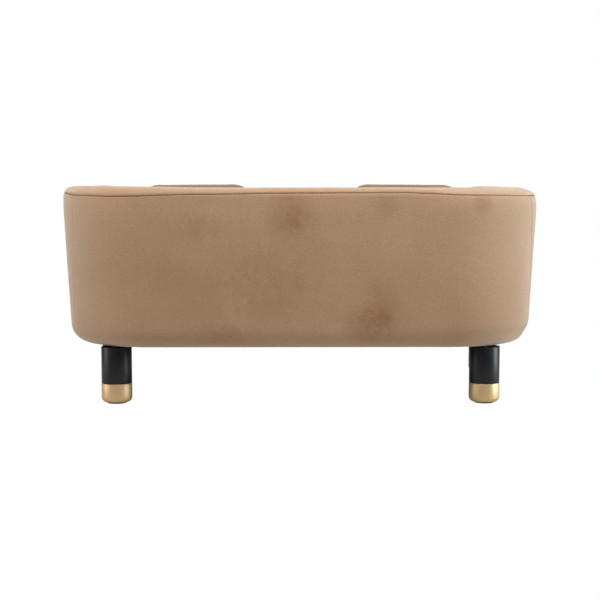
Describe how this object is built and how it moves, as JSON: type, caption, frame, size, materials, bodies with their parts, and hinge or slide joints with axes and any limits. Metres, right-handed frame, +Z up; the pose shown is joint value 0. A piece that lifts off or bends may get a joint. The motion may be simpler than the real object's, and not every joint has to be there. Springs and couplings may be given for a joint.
{
  "type": "pet sofa bed",
  "caption": "Small velvet pet sofa: one D-shaped padded wall around a loose boxed seat cushion, with toss pillows and round turned legs that have metal tips.",
  "frame": {"origin": "on the floor under the middle of the sofa's bounding box", "axes": "+X to the right seen from the front, +Y to the back, +Z up; the open front faces -Y"},
  "size_m": [0.76, 0.48, 0.3408],
  "materials": {
    "velvet": "matte",
    "lining": "matte",
    "dust_cloth": "matte",
    "foam": "matte",
    "wadding": "matte",
    "fibre": "matte",
    "frame_wood": "matte",
    "bent_board": "matte",
    "black_wood": "satin",
    "gold_metal": "satin",
    "zinc_steel": "satin",
    "black_plastic": "matte",
    "zip": "matte",
    "zip_metal": "satin"
  },
  "bodies": {
    "sofa_frame": {"back_rail": "frame_wood", "front_rail": "frame_wood", "middle_rail": "frame_wood", "side_rail_left": "frame_wood", "side_rail_right": "frame_wood", "leg_block_back_left": "frame_wood", "leg_block_back_right": "frame_wood", "leg_block_front_left": "frame_wood", "leg_block_front_right": "frame_wood", "seat_deck": "frame_wood", "back_post_left": "frame_wood", "back_post_centre": "frame_wood", "back_post_right": "frame_wood", "side_post_left": "frame_wood", "side_post_right": "frame_wood", "arm_board_left": "frame_wood", "arm_board_right": "frame_wood", "rim_board": "frame_wood", "outer_board": "bent_board", "inner_board": "bent_board", "hanger_bolts": "zinc_steel", "t_nuts": "zinc_steel", "inner_foam": "foam", "rim_foam": "foam", "front_foam": "foam", "arm_front_foam_left": "foam", "arm_front_foam_right": "foam", "outer_wadding": "wadding", "outer_cover": "velvet", "rim_cover": "velvet", "inner_cover": "velvet", "front_cover": "velvet", "arm_front_cover_left": "velvet", "arm_front_cover_right": "velvet", "deck_cloth": "lining", "dust_cover": "dust_cloth", "leg_back_left": "black_wood", "leg_back_right": "black_wood", "leg_front_left": "black_wood", "leg_front_right": "black_wood", "leg_tip_back_left": "gold_metal", "leg_tip_back_right": "gold_metal", "leg_tip_front_left": "gold_metal", "leg_tip_front_right": "gold_metal", "glides": "black_plastic"},
    "seat_cushion": {"cushion_foam": "foam", "cushion_cover": "velvet", "zip_tape": "zip"},
    "zip_slider": {"zip_slider": "zip_metal"},
    "pillow_left": {"pillow_cover_left": "velvet", "pillow_fill_left": "fibre"},
    "pillow_right": {"pillow_cover_right": "velvet", "pillow_fill_right": "fibre"}
  },
  "joints": [
    {"name": "cushion_lift", "type": "slide", "parent": "sofa_frame", "child": "seat_cushion", "axis": [0, 0, 1], "range_m": [0, 0.26]},
    {"name": "zip_pull", "type": "slide", "parent": "seat_cushion", "child": "zip_slider", "axis": [-1, 0, 0], "range_m": [0, 0.376]},
    {"name": "pillow_left_lift", "type": "slide", "parent": "seat_cushion", "child": "pillow_left", "axis": [0, 0, 1], "range_m": [0, 0.16]},
    {"name": "pillow_right_lift", "type": "slide", "parent": "seat_cushion", "child": "pillow_right", "axis": [0, 0, 1], "range_m": [0, 0.16]}
  ]
}
